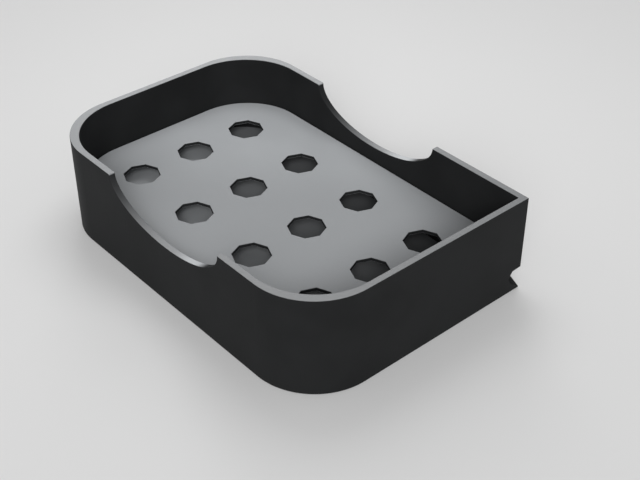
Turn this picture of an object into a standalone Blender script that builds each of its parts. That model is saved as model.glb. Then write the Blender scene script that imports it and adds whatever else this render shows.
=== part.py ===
# Soap dish: an open walled dish with a lift-out drain plate over a sloped sump.
# Metres, +Z up. The origin is on the surface it stands on, under the middle of the dish.
# +X runs along the dish and +Y across it. The square drain corner is at +X, +Y.

import math

import bmesh
import bpy
from mathutils import Matrix, Vector

# Dish body
DISH_LENGTH = 0.120
DISH_WIDTH = 0.080
BODY_HEIGHT = 0.031
WALL = 0.002
CORNER_RADIUS = 0.020
INNER_CORNER_RADIUS = 0.020
NOTCH_LENGTH = 0.050
NOTCH_DEPTH = 0.011
SHOULDER_WIDTH = 0.0045
FLOOR_SLOPE = math.radians(3.4)

# Drain plate
PLATE_LEVEL = 0.015
PLATE_THICKNESS = 0.0012
HOLE_SIZE = 0.0114
HOLE_PITCH_ALONG = 0.0268
HOLE_PITCH_ACROSS = 0.0201
HOLES_ALONG = 4
HOLES_ACROSS = 3

# Drain outlet, an eight-sided hole through the square corner
OUTLET_SIZE = 0.0068
OUTLET_LIP = 0.0003
OUTLET_TILT = math.radians(20)

# Foot pads
PAD_DIAMETER = 0.012
PAD_RECESS_DEPTH = 0.001
PAD_PROUD = 0.0002
PAD_INSET_ALONG = 0.019
PAD_INSET_ACROSS = 0.018
PAD_EDGE = 0.0002

# Fits and cutting
CLEARANCE = 0.0003
OVERRUN = 0.003

# Smoothness
HOLE_SIDES = 8
CORNER_STEPS = 16
NOTCH_STEPS = 72
PAD_STEPS = 32
PAD_EDGE_STEPS = 1
SMOOTH_ANGLE = math.radians(25)

# Levels above the underside of the body
PLATE_UNDERSIDE = PLATE_LEVEL - PLATE_THICKNESS
SHOULDER_LEVEL = PLATE_UNDERSIDE - CLEARANCE
SUMP_INSET = WALL + SHOULDER_WIDTH

# The outlet's axis crosses the corner edge at this level, and rises inwards
OUTLET_HALF_HEIGHT = OUTLET_SIZE / 2 / math.cos(OUTLET_TILT)
OUTLET_LEVEL = OUTLET_LIP + OUTLET_HALF_HEIGHT
OUTLET_RUN = SUMP_INSET * math.sqrt(2)
FLOOR_AT_OUTLET = OUTLET_LIP + OUTLET_RUN * math.tan(OUTLET_TILT)


def clear_scene():
    for leftover in list(bpy.data.objects):
        bpy.data.objects.remove(leftover, do_unlink=True)


def finish(name, colour, roughness):
    material = bpy.data.materials.new(name)
    material.use_nodes = True
    shader = material.node_tree.nodes["Principled BSDF"]
    shader.inputs["Base Color"].default_value = (*colour, 1)
    shader.inputs["Roughness"].default_value = roughness
    shader.inputs["Metallic"].default_value = 0
    return material


def put_in_scene(name, mesh):
    piece = bpy.data.objects.new(name, mesh)
    bpy.context.scene.collection.objects.link(piece)
    return piece


def mesh_from(name, shape):
    bmesh.ops.recalc_face_normals(shape, faces=shape.faces)
    mesh = bpy.data.meshes.new(name)
    shape.to_mesh(mesh)
    shape.free()
    return mesh


def dish_outline(inset, radius):
    """The dish's plan, drawn in by the inset: three round corners and the square drain corner."""
    half_length = DISH_LENGTH / 2 - inset
    half_width = DISH_WIDTH / 2 - inset
    points = [Vector((half_length, half_width, 0))]
    for side_x, side_y, start in ((-1, 1, 90), (-1, -1, 180), (1, -1, 270)):
        centre = Vector((side_x * (half_length - radius), side_y * (half_width - radius), 0))
        for step in range(CORNER_STEPS + 1):
            angle = math.radians(start + 90 * step / CORNER_STEPS)
            points.append(centre + radius * Vector((math.cos(angle), math.sin(angle), 0)))
    return points


def inner_outline(step):
    """The plan inside the walls, drawn in by a step from the walls' inner faces."""
    return dish_outline(WALL + step, INNER_CORNER_RADIUS - step)


def prism(name, outline, bottom, top):
    """A solid of the outline from the bottom to the top level."""
    shape = bmesh.new()
    base = shape.faces.new([shape.verts.new(point) for point in outline])
    bmesh.ops.translate(shape, verts=shape.verts, vec=(0, 0, bottom))
    raised = bmesh.ops.extrude_face_region(shape, geom=[base])["geom"]
    raised_corners = [part for part in raised if isinstance(part, bmesh.types.BMVert)]
    bmesh.ops.translate(shape, verts=raised_corners, vec=(0, 0, top - bottom))
    return put_in_scene(name, mesh_from(name, shape))


def rod(name, diameter, length, sides, turn=None, at=(0, 0, 0)):
    """A round or many-sided rod about its middle, turned and then moved."""
    shape = bmesh.new()
    bmesh.ops.create_cone(shape, cap_ends=True, segments=sides, depth=length,
                          radius1=diameter / 2, radius2=diameter / 2)
    bmesh.ops.transform(shape, verts=shape.verts, matrix=Matrix.Translation(at) @ (turn or Matrix()))
    return put_in_scene(name, mesh_from(name, shape))


def carve(blank, cutters):
    """Cuts each cutter out of the blank and shades what is left."""
    for cutter in cutters:
        cutter.hide_render = True
        cutter.display_type = "WIRE"
        cut = blank.modifiers.new(cutter.name, "BOOLEAN")
        cut.operation = "DIFFERENCE"
        cut.solver = "EXACT"
        cut.object = cutter
    graph = bpy.context.evaluated_depsgraph_get()
    carved = bpy.data.meshes.new_from_object(blank.evaluated_get(graph))
    blank.modifiers.clear()
    blank.data = carved
    for cutter in cutters:
        bpy.data.objects.remove(cutter, do_unlink=True)
    shade(blank)


def shade(piece):
    piece.data.shade_smooth()
    piece.data.set_sharp_from_angle(angle=SMOOTH_ANGLE)


def floor_height(place):
    """The sump's floor rises evenly from the outlet, in line with it in plan."""
    outlet = Vector((DISH_LENGTH / 2 - SUMP_INSET, DISH_WIDTH / 2 - SUMP_INSET))
    distance = (outlet - place.xy).dot(Vector((1, 1)).normalized())
    return FLOOR_AT_OUTLET + distance * math.tan(FLOOR_SLOPE)


def sump_cutter():
    cutter = prism("sump_cut", inner_outline(SHOULDER_WIDTH), 0, SHOULDER_LEVEL + OVERRUN)
    for corner in cutter.data.vertices:
        if corner.co.z < SHOULDER_LEVEL:
            corner.co.z = floor_height(corner.co)
    return cutter


def basin_cutter():
    return prism("basin_cut", inner_outline(0), SHOULDER_LEVEL, BODY_HEIGHT + OVERRUN)


def notch_cutter():
    """One long ellipse through both long walls, centred at the rim."""
    stretch = Matrix.Diagonal((NOTCH_LENGTH / (2 * NOTCH_DEPTH), 1, 1, 1))
    across = stretch @ Matrix.Rotation(math.pi / 2, 4, "X")
    length = DISH_WIDTH + 2 * OVERRUN
    return rod("notch_cut", 2 * NOTCH_DEPTH, length, NOTCH_STEPS, across, (0, 0, BODY_HEIGHT))


def outlet_cutter():
    """Runs out through the square corner at 45 degrees in plan, and down by its tilt."""
    inner_end = (OUTLET_RUN + OVERRUN) / math.cos(OUTLET_TILT)
    outer_end = OVERRUN / math.cos(OUTLET_TILT)
    along = Matrix.Rotation(math.pi / 4, 4, "Z") @ Matrix.Rotation(math.pi / 2 + OUTLET_TILT, 4, "Y")
    middle = along @ Vector((0, 0, (outer_end - inner_end) / 2))
    corner = Vector((DISH_LENGTH / 2, DISH_WIDTH / 2, OUTLET_LEVEL))
    return rod("outlet_cut", OUTLET_SIZE, inner_end + outer_end, HOLE_SIDES, along, corner + middle)


def pad_places():
    across = DISH_WIDTH / 2 - PAD_INSET_ACROSS
    along = DISH_LENGTH / 2 - PAD_INSET_ALONG
    return [(side_x * along, side_y * across) for side_x in (-1, 1) for side_y in (-1, 1)]


def pad_recess_cutters():
    size = PAD_DIAMETER + 2 * CLEARANCE
    depth = PAD_RECESS_DEPTH + OVERRUN
    level = PAD_RECESS_DEPTH - depth / 2
    return [rod(f"recess_cut_{number}", size, depth, PAD_STEPS, at=(x, y, level))
            for number, (x, y) in enumerate(pad_places(), start=1)]


def dish_body():
    body = prism("dish_body", dish_outline(0, CORNER_RADIUS), 0, BODY_HEIGHT)
    carve(body, [basin_cutter(), sump_cutter(), notch_cutter(), outlet_cutter(), *pad_recess_cutters()])
    body.location.z = PAD_PROUD
    body.data.materials.clear()
    body.data.materials.append(finish("charcoal body", (0.045, 0.046, 0.048), 0.55))
    return body


def plate_hole_cutters():
    thickness = PLATE_THICKNESS + 2 * OVERRUN
    cutters = []
    for along in range(HOLES_ALONG):
        for across in range(HOLES_ACROSS):
            x = (along - (HOLES_ALONG - 1) / 2) * HOLE_PITCH_ALONG
            y = (across - (HOLES_ACROSS - 1) / 2) * HOLE_PITCH_ACROSS
            at = (x, y, PLATE_THICKNESS / 2)
            cutters.append(rod(f"hole_cut_{along}_{across}", HOLE_SIZE, thickness, HOLE_SIDES, at=at))
    return cutters


def drain_plate():
    """Lies on the shoulder, one clearance above it, and lifts straight up."""
    plate = prism("drain_plate", inner_outline(CLEARANCE), 0, PLATE_THICKNESS)
    carve(plate, plate_hole_cutters())
    plate.location.z = PAD_PROUD + PLATE_UNDERSIDE
    plate.data.materials.clear()
    plate.data.materials.append(finish("light grey plate", (0.34, 0.345, 0.35), 0.5))
    return plate


def foot_pads():
    rubber = finish("dark rubber", (0.03, 0.03, 0.03), 0.8)
    thickness = PAD_RECESS_DEPTH + PAD_PROUD - CLEARANCE
    pads = []
    for number, (x, y) in enumerate(pad_places(), start=1):
        pad = rod(f"foot_pad_{number}", PAD_DIAMETER, thickness, PAD_STEPS)
        edge = pad.modifiers.new("edge", "BEVEL")
        edge.width = PAD_EDGE
        edge.segments = PAD_EDGE_STEPS
        edge.limit_method = "ANGLE"
        pad.location = (x, y, thickness / 2)
        pad.data.materials.append(rubber)
        shade(pad)
        pads.append(pad)
    return pads


def build():
    clear_scene()
    frame = bpy.data.objects.new("soap_dish", None)
    bpy.context.scene.collection.objects.link(frame)
    for piece in (dish_body(), drain_plate(), *foot_pads()):
        piece.parent = frame


build()
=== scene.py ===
import math

import bmesh
import bpy
from mathutils import Matrix, Vector


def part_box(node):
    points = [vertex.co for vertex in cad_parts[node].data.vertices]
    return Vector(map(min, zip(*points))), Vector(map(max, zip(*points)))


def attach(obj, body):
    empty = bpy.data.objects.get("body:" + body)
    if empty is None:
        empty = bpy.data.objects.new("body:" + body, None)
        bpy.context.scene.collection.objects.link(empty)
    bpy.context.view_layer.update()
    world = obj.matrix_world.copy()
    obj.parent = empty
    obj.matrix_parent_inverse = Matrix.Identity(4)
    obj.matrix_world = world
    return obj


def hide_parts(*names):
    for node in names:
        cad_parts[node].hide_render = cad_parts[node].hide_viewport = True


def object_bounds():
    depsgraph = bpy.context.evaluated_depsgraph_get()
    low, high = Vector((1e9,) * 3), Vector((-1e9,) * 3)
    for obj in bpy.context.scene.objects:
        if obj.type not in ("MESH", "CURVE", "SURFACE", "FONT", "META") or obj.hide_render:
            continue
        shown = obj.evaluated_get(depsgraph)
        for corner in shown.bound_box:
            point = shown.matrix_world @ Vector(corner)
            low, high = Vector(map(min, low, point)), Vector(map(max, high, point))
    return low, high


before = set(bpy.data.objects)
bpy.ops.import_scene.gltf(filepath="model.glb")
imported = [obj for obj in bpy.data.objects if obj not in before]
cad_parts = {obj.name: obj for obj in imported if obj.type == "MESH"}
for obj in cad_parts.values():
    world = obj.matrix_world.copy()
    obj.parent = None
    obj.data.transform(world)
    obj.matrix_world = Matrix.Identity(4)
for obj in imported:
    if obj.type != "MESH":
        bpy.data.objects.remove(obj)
cadLow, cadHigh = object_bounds()

bodyLow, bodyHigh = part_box("dish_body")
plateLow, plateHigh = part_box("drain_plate")
padNumbers = (1, 2, 3, 4)


# Finishes

class Wire:
    # A socket. Sums on it add Math nodes, so shader maths reads as plain Python.
    def __init__(self, nodes, socket):
        self.nodes = nodes
        self.socket = socket

    def maths(self, operation, *values):
        return self.nodes.node("ShaderNodeMath", {"operation": operation}, dict(enumerate(values)))

    def __add__(self, other):
        return self.maths("ADD", self, other)

    def __radd__(self, other):
        return self.maths("ADD", other, self)

    def __sub__(self, other):
        return self.maths("SUBTRACT", self, other)

    def __rsub__(self, other):
        return self.maths("SUBTRACT", other, self)

    def __mul__(self, other):
        return self.maths("MULTIPLY", self, other)

    def __rmul__(self, other):
        return self.maths("MULTIPLY", other, self)

    def smooth(self, low, high):  # 0 below low, 1 above high, and an even curve between
        return self.nodes.node("ShaderNodeMapRange", {"interpolation_type": "SMOOTHSTEP"},
                               {"Value": self, "From Min": low, "From Max": high})


class Nodes:
    # A node tree that nodes are added to, of a material or of the world.
    def __init__(self, tree):
        self.tree = tree

    def plug(self, socket, value):
        if isinstance(value, Wire):
            self.tree.links.new(value.socket, socket)
        else:
            socket.default_value = value

    def node(self, kind, settings=None, values=None, output=0):
        made = self.tree.nodes.new(kind)
        for name, setting in (settings or {}).items():
            setattr(made, name, setting)
        for name, value in (values or {}).items():
            self.plug(made.inputs[name], value)
        return Wire(self, made.outputs[output])


class Finish(Nodes):
    # One material and the nodes behind it.
    def __init__(self, name, roughness, specular):
        self.material = bpy.data.materials.new(name)
        self.material.use_nodes = True
        super().__init__(self.material.node_tree)
        self.shader = self.tree.nodes["Principled BSDF"]
        self.plug(self.shader.inputs["Roughness"], roughness)
        self.plug(self.shader.inputs["Specular IOR Level"], specular)

    def place(self):
        return self.node("ShaderNodeTexCoord", output="Object")

    def axis(self, name):
        return self.node("ShaderNodeSeparateXYZ", None, {0: self.place()}, output=name)

    def noise(self, size, detail=2.0, roughness=0.5):  # patches about this many metres across
        return self.node("ShaderNodeTexNoise", None, {
            "Vector": self.place(), "Scale": 1 / size, "Detail": detail, "Roughness": roughness})

    def mix(self, share, low, high):  # two colours
        return self.node("ShaderNodeMix", {"data_type": "RGBA"}, {0: share, 6: low, 7: high}, output=2)

    def bump(self, height, depth):
        return self.node("ShaderNodeBump", None, {"Height": height, "Distance": depth}, output="Normal")

    def colour(self):  # what the base colour is so far
        return Wire(self, self.shader.inputs["Base Color"].links[0].from_socket)

    def set(self, **values):
        for name, value in values.items():
            self.plug(self.shader.inputs[name.replace("_", " ")], value)
        return self.material


plastic = {
    "charcoalTones": (0.0148, 0.0186),
    "charcoalRoughness": 0.55,
    "charcoalSpecular": 0.06,
    "coolTint": (0.965, 1.0, 1.035),
    "patch": 0.018,
    "patchSpan": (0.3, 0.7),
    "patchRoughness": 0.1,
    "grain": 0.0007,
    "grainDetail": 1.0,
    "grainDepth": 0.00002,
    "grainRoughness": 0.04,
}


def grey(level):
    return (level, level, level, 1.0)


def tinted(level):
    return (*(level * share for share in plastic["coolTint"]), 1.0)


def mouldedSkin(name, tones, roughness, specular):
    # Matt moulded plastic: a fine grain, faint patches between two tones, and an uneven roughness.
    finish = Finish(name, roughness, specular)
    patches = finish.noise(plastic["patch"])
    grain = finish.noise(plastic["grain"], detail=plastic["grainDetail"])
    colour = finish.mix(patches.smooth(*plastic["patchSpan"]), *(tinted(tone) for tone in tones))
    uneven = plastic["patchRoughness"] * (patches - 0.5) + plastic["grainRoughness"] * grain
    finish.set(Base_Color=colour, Roughness=roughness + uneven,
               Normal=finish.bump(grain, plastic["grainDepth"]))
    return finish


# Shapes

sharpAngle = math.radians(35)
roundProfile = 0.5


def ready(name, mesh, finishes):
    # A finished piece: its place is in its mesh, and its flat faces keep flat shading.
    piece = bpy.data.objects.new(name, mesh)
    bpy.context.scene.collection.objects.link(piece)
    for finish in finishes:
        mesh.materials.append(finish)
    mesh.shade_smooth()
    mesh.set_sharp_from_angle(angle=sharpAngle)
    weighted = piece.modifiers.new("flatFaces", "WEIGHTED_NORMAL")
    weighted.keep_sharp = True
    return piece


def toMesh(name, shape):
    bmesh.ops.recalc_face_normals(shape, faces=shape.faces)
    mesh = bpy.data.meshes.new(name)
    shape.to_mesh(mesh)
    shape.free()
    return mesh


def planSheet(shape, low, high, radius, steps):
    # One flat face with three round corners. The corner at +X, +Y stays square.
    bmesh.ops.create_grid(shape, x_segments=1, y_segments=1, size=0.5)
    bmesh.ops.scale(shape, verts=shape.verts, vec=(high.x - low.x, high.y - low.y, 1))
    middle = (low + high) / 2
    bmesh.ops.translate(shape, verts=shape.verts, vec=(middle.x, middle.y, low.z))
    rounded = [corner for corner in shape.verts if corner.co.x < 0 or corner.co.y < 0]
    bmesh.ops.bevel(shape, geom=rounded, affect="VERTICES", offset=radius, segments=steps,
                    profile=roundProfile, material=-1)


def roundEdges(shape, values):
    # Rounds every edge that turns by more than the piece's crisp angle.
    crisp = [edge for edge in shape.edges
             if edge.is_manifold and edge.calc_face_angle() > values["crispAngle"]]
    bmesh.ops.bevel(shape, geom=crisp, affect="EDGES", offset=values["edge"],
                    segments=values["edgeSteps"], profile=roundProfile, material=-1)


def pushTo(shape, face, height, keep=False):
    # Extrudes the face and lays its new corners at the height that the function gives.
    raised = bmesh.ops.extrude_face_region(shape, geom=[face])["geom"]
    pushed = next(part for part in raised if isinstance(part, bmesh.types.BMFace))
    if not keep:
        bmesh.ops.delete(shape, geom=[face], context="FACES_ONLY")
    for corner in pushed.verts:
        corner.co.z = height(corner.co)
    return pushed


# Dish

dish = {
    "wall": 0.002,
    "cornerRadius": 0.020,
    "innerRadius": 0.020,
    "cornerSteps": 40,
    "notchLength": 0.050,
    "notchDepth": 0.011,
    "notchSteps": 64,
    "shoulderWidth": 0.0045,
    "plateGap": 0.0003,
    "floorSlope": math.radians(3.4),
    "outletSize": 0.0068,
    "outletLip": 0.0003,
    "outletTilt": math.radians(20),
    "outletHeading": math.radians(45),
    "outletSides": 8,
    "recessSize": 0.0126,
    "recessDepth": 0.001,
    "recessSteps": 64,
    "overrun": 0.003,
    "hair": 0.000025,
    "flatAngle": math.radians(0.3),
    "crispAngle": math.radians(40),
    "edge": 0.00015,
    "edgeSteps": 3,
    # Rim tones: pale as painted light, and a painted shade towards +X.
    "rimTones": (0.2698, 0.2982),
    "rimShadeTone": 0.176,
    "rimShadeAcross": 0.25,
    "rimShadeFade": 0.064,
    "rimRoughness": 0.42,
    "rimSpecular": 0.6,
    "notchFade": 0.0003,
    # A painted highlight in the finger notch, and a painted shade where it turns steep.
    "notchHighlightTone": 0.54,
    "notchHighlightSpan": (0.1, 0.55),
    "steepLean": 0.07,
    "steepSpan": (-0.25, 1.05),
    "backSpan": (0.58, 0.78),
    # Sump tones: pale as painted light, and a painted shade down towards the outlet.
    "sumpTones": (0.3572, 0.4028),
    "sumpShadeTone": 0.09,
    "sumpAlong": 0.6,
    "sumpAcross": 1.6,
    "sumpFade": 0.070,
    "sumpRoughness": 0.6,
    "sumpSpecular": 0.3,
}


def charcoalFinish(name, tones):
    return mouldedSkin(name, tones, plastic["charcoalRoughness"], plastic["charcoalSpecular"]).material


def rimFinish():
    # Pale on top, painted light on the upward faces, with a painted shade towards +X. Along a finger
    # notch it goes from a charcoal copy mixed in as painted shade, through pale, to a painted
    # highlight, and back to the charcoal painted shade where the notch turns steep again. The spans are
    # shares of half the notch's length.
    finish = mouldedSkin("paleRim", dish["rimTones"], dish["rimRoughness"], dish["rimSpecular"])
    along, across = finish.axis("X"), finish.axis("Y")
    # Painted shade towards +X.
    paintedShade = (along - across * dish["rimShadeAcross"]).smooth(-dish["rimShadeFade"], dish["rimShadeFade"])
    top = finish.mix(paintedShade, finish.colour(), tinted(dish["rimShadeTone"]))
    depth = bodyHigh.z - finish.axis("Z")
    inNotch = depth.smooth(dish["edge"], dish["edge"] + dish["notchFade"])
    share = 2 / dish["notchLength"]
    # Painted highlight along the notch.
    notchHighlight = (along * share).smooth(*dish["notchHighlightSpan"])
    finish.set(Base_Color=finish.mix(notchHighlight * inNotch, top, tinted(dish["notchHighlightTone"])))
    # Painted shade where the notch turns steep: a charcoal copy of the finish is mixed in.
    front = ((across * dish["steepLean"] - along) * share).smooth(*dish["steepSpan"])
    steep = front + (along * share).smooth(*dish["backSpan"])
    shadedCharcoal = finish.node("ShaderNodeBsdfPrincipled", None, {
        "Base Color": tinted(max(plastic["charcoalTones"])),
        "Roughness": plastic["charcoalRoughness"],
        "Specular IOR Level": plastic["charcoalSpecular"]})
    pale = Wire(finish, finish.shader.outputs["BSDF"])
    both = finish.node("ShaderNodeMixShader", None, {0: steep * inNotch, 1: pale, 2: shadedCharcoal})
    finish.plug(finish.tree.nodes["Material Output"].inputs["Surface"], both)
    return finish.material


def sumpFinish():
    # Pale where it is shallow, as painted light, and a painted shade darker down towards the outlet.
    finish = mouldedSkin("paleSump", dish["sumpTones"], dish["sumpRoughness"], dish["sumpSpecular"])
    down = finish.axis("X") * dish["sumpAlong"] + finish.axis("Y") * dish["sumpAcross"]
    # Painted shade down towards the outlet.
    sumpShade = down.smooth(-dish["sumpFade"], dish["sumpFade"])
    return finish.set(Base_Color=finish.mix(sumpShade, finish.colour(), tinted(dish["sumpShadeTone"])))


def notchPoints(shape):
    # Adds the points of both finger notches to the long sides, still level with the rest. The
    # notch turns by the same angle at each of them.
    half, hair = dish["notchLength"] / 2, dish["hair"]
    for side in (-1, 1):
        bmesh.ops.bisect_plane(shape, geom=[*shape.verts, *shape.edges, *shape.faces],
                               plane_co=(side * half, 0, 0), plane_no=(1, 0, 0))
    across = [edge for edge in shape.edges if len(edge.link_faces) == 2]
    bmesh.ops.dissolve_edges(shape, edges=across, use_verts=False)
    along = [edge for edge in shape.edges if all(abs(end.co.x) < half + hair for end in edge.verts)]
    bmesh.ops.bisect_edges(shape, edges=along, cuts=dish["notchSteps"] - 1)
    for point in shape.verts:
        if abs(point.co.x) < half - hair:
            turn = math.pi * (point.co.x + half) / (2 * half)
            share = math.atan2(dish["notchDepth"] * math.sin(turn), half * math.cos(turn))
            point.co.x = -half * math.cos(share)


def notchDrop(place):
    half = dish["notchLength"] / 2
    return dish["notchDepth"] * math.sqrt(max(0, 1 - (place.x / half) ** 2))


def roundInside(face):
    # The inset leaves the corners tighter than the real ones, so they are drawn again.
    radius, inset = dish["cornerRadius"], dish["wall"] + dish["innerRadius"]
    for corner in face.verts:
        side = Vector((math.copysign(1, corner.co.x), math.copysign(1, corner.co.y)))
        spoke = corner.co.xy - side * (bodyHigh.xy - Vector((radius, radius)))
        outward = min(spoke * side) > -dish["edge"]
        if outward and min(side) < 0:
            middle = side * (bodyHigh.xy - Vector((inset, inset)))
            corner.co.xy = middle + dish["innerRadius"] * spoke.normalized()


def cutInTwo(shape, ring):
    # Two seams, at opposite corners, that stay when flat faces are joined. Without them it would be
    # left to chance where the ring stays cut, as one face can't have a hole in it.
    spokes = [edge for edge in shape.edges if set(edge.link_faces) <= set(ring)]
    for choose in (min, max):
        choose(spokes, key=lambda edge: sum(sum(end.co.xy) for end in edge.verts)).seam = True


def sumpFloor(place):
    # Rises evenly from the outlet, in line with it in plan.
    inset = dish["wall"] + dish["shoulderWidth"]
    outlet = bodyHigh.xy - Vector((inset, inset))
    distance = (outlet - place.xy).dot(Vector((1, 1)).normalized())
    lowest = dish["outletLip"] + inset * math.sqrt(2) * math.tan(dish["outletTilt"])
    return bodyLow.z + lowest + distance * math.tan(dish["floorSlope"])


def outletCutter():
    # A rod that runs in through the square corner and rises by its tilt.
    shape = bmesh.new()
    inset = (dish["wall"] + dish["shoulderWidth"]) * math.sqrt(2)
    slant = math.cos(dish["outletTilt"])
    inner, outer = (inset + dish["overrun"]) / slant, dish["overrun"] / slant
    bmesh.ops.create_cone(shape, cap_ends=True, segments=dish["outletSides"], depth=inner + outer,
                          radius1=dish["outletSize"] / 2, radius2=dish["outletSize"] / 2)
    bmesh.ops.translate(shape, verts=shape.verts, vec=(0, 0, (outer - inner) / 2))
    for turn, axis in ((math.pi / 2 + dish["outletTilt"], "Y"), (dish["outletHeading"], "Z")):
        bmesh.ops.rotate(shape, verts=shape.verts, matrix=Matrix.Rotation(turn, 3, axis))
    level = bodyLow.z + dish["outletLip"] + dish["outletSize"] / 2 / slant
    bmesh.ops.translate(shape, verts=shape.verts, vec=(bodyHigh.x, bodyHigh.y, level))
    return shape


def recessCutter(number):
    padLow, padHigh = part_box(f"foot_pad_{number}")
    shape = bmesh.new()
    depth = dish["recessDepth"] + dish["overrun"]
    bmesh.ops.create_cone(shape, cap_ends=True, segments=dish["recessSteps"], depth=depth,
                          radius1=dish["recessSize"] / 2, radius2=dish["recessSize"] / 2)
    middle = (padLow + padHigh) / 2
    middle.z = bodyLow.z + dish["recessDepth"] - depth / 2
    bmesh.ops.translate(shape, verts=shape.verts, vec=middle)
    return shape


def cutAway(mesh, cutters):
    # Cuts the shapes out of the mesh, and returns the mesh that is left.
    blank = bpy.data.objects.new("blank", mesh)
    bpy.context.scene.collection.objects.link(blank)
    tools = []
    for number, shape in enumerate(cutters):
        tool = bpy.data.objects.new(f"cutter{number}", toMesh(f"cutter{number}", shape))
        bpy.context.scene.collection.objects.link(tool)
        tool.hide_render = True
        tool.display_type = "WIRE"
        cut = blank.modifiers.new(tool.name, "BOOLEAN")
        cut.operation = "DIFFERENCE"
        cut.solver = "EXACT"
        cut.object = tool
        tools.append(tool)
    graph = bpy.context.evaluated_depsgraph_get()
    left = bpy.data.meshes.new_from_object(blank.evaluated_get(graph))
    for spare in (blank, *tools):
        bpy.data.objects.remove(spare, do_unlink=True)
    return left


def dishShell():
    shape = bmesh.new()
    planSheet(shape, bodyLow, bodyHigh, dish["cornerRadius"], dish["cornerSteps"])
    notchPoints(shape)
    top = pushTo(shape, next(iter(shape.faces)), lambda place: bodyHigh.z, keep=True)
    rim = bmesh.ops.inset_region(shape, faces=[top], thickness=dish["wall"],
                                 use_even_offset=True)["faces"]
    roundInside(top)
    shoulder = plateLow.z - dish["plateGap"]
    inside = pushTo(shape, top, lambda place: shoulder)
    ledge = bmesh.ops.inset_region(shape, faces=[inside], thickness=dish["shoulderWidth"],
                                   use_even_offset=True)["faces"]
    cutInTwo(shape, ledge)
    floor = pushTo(shape, inside, sumpFloor)
    for corner in {corner for face in rim for corner in face.verts}:
        if abs(corner.co.y) > bodyHigh.y - dish["wall"] * 1.5:
            corner.co.z -= notchDrop(corner.co)
    # The rim and the sump floor take pale finishes and the walls charcoal: painted light on the upward
    # faces and painted shade on the upright ones.
    for face in rim:
        face.material_index = 1
    floor.material_index = 2
    bmesh.ops.recalc_face_normals(shape, faces=shape.faces)
    bmesh.ops.dissolve_limit(shape, verts=shape.verts, edges=shape.edges,
                             angle_limit=dish["flatAngle"], delimit={"MATERIAL", "SEAM"})
    roundEdges(shape, dish)
    recesses = [recessCutter(number) for number in padNumbers]
    mesh = cutAway(toMesh("dishShell", shape), [outletCutter(), *recesses])
    charcoal = charcoalFinish("charcoalPlastic", plastic["charcoalTones"])
    piece = ready("dishShell", mesh, [charcoal, rimFinish(), sumpFinish()])
    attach(piece, "dish")
    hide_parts("dish_body")
    print("dish shell:", len(mesh.polygons), "faces")


# Plate

plate = {
    "cornerRadius": dish["innerRadius"] - dish["plateGap"],
    "cornerSteps": 40,
    "holeSize": 0.0114,
    "holeSides": 8,
    "holeRing": 0.0012,
    "pitchAlong": 0.0268,
    "pitchAcross": 0.0201,
    "holesAlong": 4,
    "holesAcross": 3,
    "cell": 0.016,
    "crispAngle": math.radians(60),
    "edge": 0.00012,
    "edgeSteps": 3,
    # The plate's top is painted pale as lit, and its sides and hole walls charcoal as shaded.
    "flatness": 0.2,
    "tones": (0.42098, 0.44702),
    # A painted shade across the plate, and a darker painted shade at the +X end.
    "paintedShade": 0.305,
    "fade": 0.066,
    "endShadeTone": 0.182,
    "endShadeSpan": (0.025, 0.052),
    "roughness": 0.6,
    "specular": 0.3,
    "edgeTones": (0.01998, 0.02511),
}


def plateFinish():
    # Painted light and shade: palest at the -X, +Y corner, a painted shade from the middle on, and the
    #     # darkest painted shade, of the +X wall, at the +X end.
    finish = mouldedSkin("palePlate", plate["tones"], plate["roughness"], plate["specular"])
    along = finish.axis("X")
    # Painted shade from the middle on.
    paintedShade = (along - finish.axis("Y")).smooth(-plate["fade"], 0)
    tone = finish.mix(paintedShade, finish.colour(), tinted(plate["paintedShade"]))
    # Painted shade of the +X wall at the +X end.
    end = along.smooth(*plate["endShadeSpan"])
    return finish.set(Base_Color=finish.mix(end, tone, tinted(plate["endShadeTone"])))


def rowPlaces(count, pitch):
    return [(number - (count - 1) / 2) * pitch for number in range(count)]


def cutAcross(shape, axis, places):
    # Cuts the sheet on both sides of each place along the axis, which leaves a cell round each hole.
    for place in places:
        for side in (-1, 1):
            bmesh.ops.bisect_plane(shape, geom=[*shape.verts, *shape.edges, *shape.faces],
                                   plane_co=axis * (place + side * plate["cell"] / 2), plane_no=axis)


def shapeHole(shape, cell, middle):
    # Turns the inside of a square cell into the outline of a hole.
    bmesh.ops.inset_region(shape, faces=[cell], thickness=plate["holeRing"], use_even_offset=True)
    bmesh.ops.bisect_edges(shape, edges=cell.edges, cuts=1)
    step = math.tau / plate["holeSides"]
    for corner in cell.verts:
        spoke = corner.co - middle
        turn = round(math.atan2(spoke.y, spoke.x) / step) * step
        corner.co = middle + plate["holeSize"] / 2 * Vector((math.cos(turn), math.sin(turn), 0))


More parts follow.
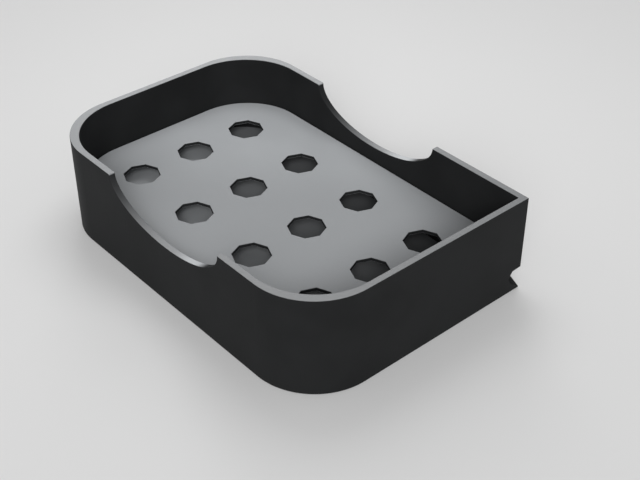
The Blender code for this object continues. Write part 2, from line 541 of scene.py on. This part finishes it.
def soapPlate():
    shape = bmesh.new()
    planSheet(shape, plateLow, plateHigh, plate["cornerRadius"], plate["cornerSteps"])
    along = rowPlaces(plate["holesAlong"], plate["pitchAlong"])
    across = rowPlaces(plate["holesAcross"], plate["pitchAcross"])
    cutAcross(shape, Vector((1, 0, 0)), along)
    cutAcross(shape, Vector((0, 1, 0)), across)
    middles = [Vector((x, y, plateLow.z)) for x in along for y in across]
    cells = [min(shape.faces, key=lambda face: (face.calc_center_median() - middle).length)
             for middle in middles]
    for cell, middle in zip(cells, middles):
        shapeHole(shape, cell, middle)
    bmesh.ops.delete(shape, geom=cells, context="FACES")
    raised = bmesh.ops.extrude_face_region(shape, geom=shape.faces[:])["geom"]
    bmesh.ops.translate(shape, verts=[part for part in raised if isinstance(part, bmesh.types.BMVert)],
                        vec=(0, 0, plateHigh.z - plateLow.z))
    bmesh.ops.recalc_face_normals(shape, faces=shape.faces)
    roundEdges(shape, plate)
    # Upward faces take the pale finish and the sides and hole walls the charcoal one: painted light on
    # top and painted shade on the sides.
    for face in shape.faces:
        face.material_index = 0 if abs(face.normal.z) > plate["flatness"] else 1
    mesh = toMesh("soapPlate", shape)
    piece = ready("soapPlate", mesh, [plateFinish(), charcoalFinish("plateEdge", plate["edgeTones"])])
    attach(piece, "plate")
    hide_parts("drain_plate")
    print("soap plate:", len(mesh.polygons), "faces")


# Pads

pad = {
    "steps": 64,
    "crispAngle": math.radians(60),
    "edge": 0.0002,
    "edgeSteps": 2,
    "ringWidth": 0.0008,
    "ringSlope": 0.00005,
    "ringDepth": 0.00015,
    "rings": 3,
    "tones": (0.02, 0.028),
    "roughness": 0.8,
    "specular": 0.3,
}


def footPad(number, finish):
    # A disc with rings pressed into the face that it stands on.
    low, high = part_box(f"foot_pad_{number}")
    shape = bmesh.new()
    radius = (high.x - low.x) / 2
    bmesh.ops.create_cone(shape, cap_ends=True, segments=pad["steps"], depth=high.z - low.z,
                          radius1=radius, radius2=radius)
    bmesh.ops.translate(shape, verts=shape.verts, vec=(low + high) / 2)
    roundEdges(shape, pad)
    under = min(shape.faces, key=lambda face: face.calc_center_median().z)
    width, slope, depth = pad["ringWidth"], pad["ringSlope"], pad["ringDepth"]
    for ring in range(pad["rings"]):
        for thickness, step in ((width, 0), (slope, -depth), (width, 0), (slope, depth)):
            bmesh.ops.inset_region(shape, faces=[under], thickness=thickness, depth=step,
                                   use_even_offset=True)
    piece = ready(f"footPad{number}", toMesh(f"footPad{number}", shape), [finish])
    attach(piece, "dish")
    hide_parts(f"foot_pad_{number}")


# Studio

studio = {
    "floorSize": 6.0,
    "floorTones": (0.7644, 0.78),
    "floorPatch": 0.4,
    "floorSpan": (0.2, 0.8),
    "floorRoughness": 0.9,
    "floorSpecular": 0.1,
    "skyLevel": 0.39,
    "backdropLevel": 0.66,
}

lamps = {
    "key": {"heading": math.radians(228), "elevation": math.radians(70), "distance": 0.24,
            "size": 0.14, "power": 0.12},
    "sheen": {"heading": math.radians(234), "elevation": math.radians(27), "distance": 5.0,
              "size": 2.1, "power": 32.4},
    "front": {"heading": math.radians(49), "elevation": math.radians(37), "distance": 5.2,
              "size": 1.92, "power": 96.0},
    "frontLow": {"heading": math.radians(40), "elevation": math.radians(28), "distance": 5.2,
                 "size": 2.4, "power": 71.6},
}

camera = {
    "place": (0.22557, -0.17992, 0.21668),
    "elevation": math.radians(36.56),
    "heading": math.radians(48.92),
    "lens": 67.49,
    "sensor": 36.0,
    "clipStart": 0.01,
}


def makeCamera():
    lensData = bpy.data.cameras.new("camera")
    lensData.lens = camera["lens"]
    lensData.sensor_width = camera["sensor"]
    lensData.clip_start = camera["clipStart"]
    viewer = bpy.data.objects.new("camera", lensData)
    viewer.location = camera["place"]
    viewer.rotation_euler = (math.pi / 2 - camera["elevation"], 0, camera["heading"])
    bpy.context.scene.collection.objects.link(viewer)
    bpy.context.scene.camera = viewer


def makeFloor():
    shape = bmesh.new()
    bmesh.ops.create_grid(shape, x_segments=1, y_segments=1, size=studio["floorSize"] / 2)
    bmesh.ops.translate(shape, verts=shape.verts, vec=(0, 0, cadLow.z))
    mesh = toMesh("floor", shape)
    floor = bpy.data.objects.new("floor", mesh)
    bpy.context.scene.collection.objects.link(floor)
    finish = Finish("floorPaper", studio["floorRoughness"], studio["floorSpecular"])
    patches = finish.noise(studio["floorPatch"]).smooth(*studio["floorSpan"])
    colour = finish.mix(patches, *(grey(tone) for tone in studio["floorTones"]))
    mesh.materials.append(finish.set(Base_Color=colour))


def makeWorld():
    # The camera and reflections see a pale backdrop. The object is lit by a dimmer sky.
    world = bpy.data.worlds.new("studio")
    world.use_nodes = True
    bpy.context.scene.world = world
    nodes = Nodes(world.node_tree)
    sky = nodes.node("ShaderNodeBackground", None, {"Color": grey(studio["skyLevel"])})
    seen = nodes.node("ShaderNodeBackground", None, {"Color": grey(studio["backdropLevel"])})
    cameraRay = nodes.node("ShaderNodeLightPath", output="Is Camera Ray")
    glossyRay = nodes.node("ShaderNodeLightPath", output="Is Glossy Ray")
    choice = nodes.node("ShaderNodeMixShader", None, {0: cameraRay + glossyRay, 1: sky, 2: seen})
    nodes.plug(nodes.tree.nodes["World Output"].inputs["Surface"], choice)


def makeLamp(name, lamp):
    data = bpy.data.lights.new(name, "AREA")
    data.shape = "DISK"
    data.size = lamp["size"]
    data.energy = lamp["power"]
    light = bpy.data.objects.new(name, data)
    heading, elevation = lamp["heading"], lamp["elevation"]
    aim = Vector((math.sin(heading) * math.cos(elevation), -math.cos(heading) * math.cos(elevation),
                  math.sin(elevation)))
    light.location = aim * lamp["distance"]
    light.rotation_euler = aim.to_track_quat("Z", "Y").to_euler()
    bpy.context.scene.collection.objects.link(light)


makeCamera()
makeFloor()
makeWorld()
for name, lamp in lamps.items():
    makeLamp(name, lamp)
print("studio ready")
dishShell()
soapPlate()
rubber = mouldedSkin("padRubber", pad["tones"], pad["roughness"], pad["specular"]).material
for number in padNumbers:
    footPad(number, rubber)
print("foot pads ready")

bpy.context.scene.view_settings.view_transform = "Standard"
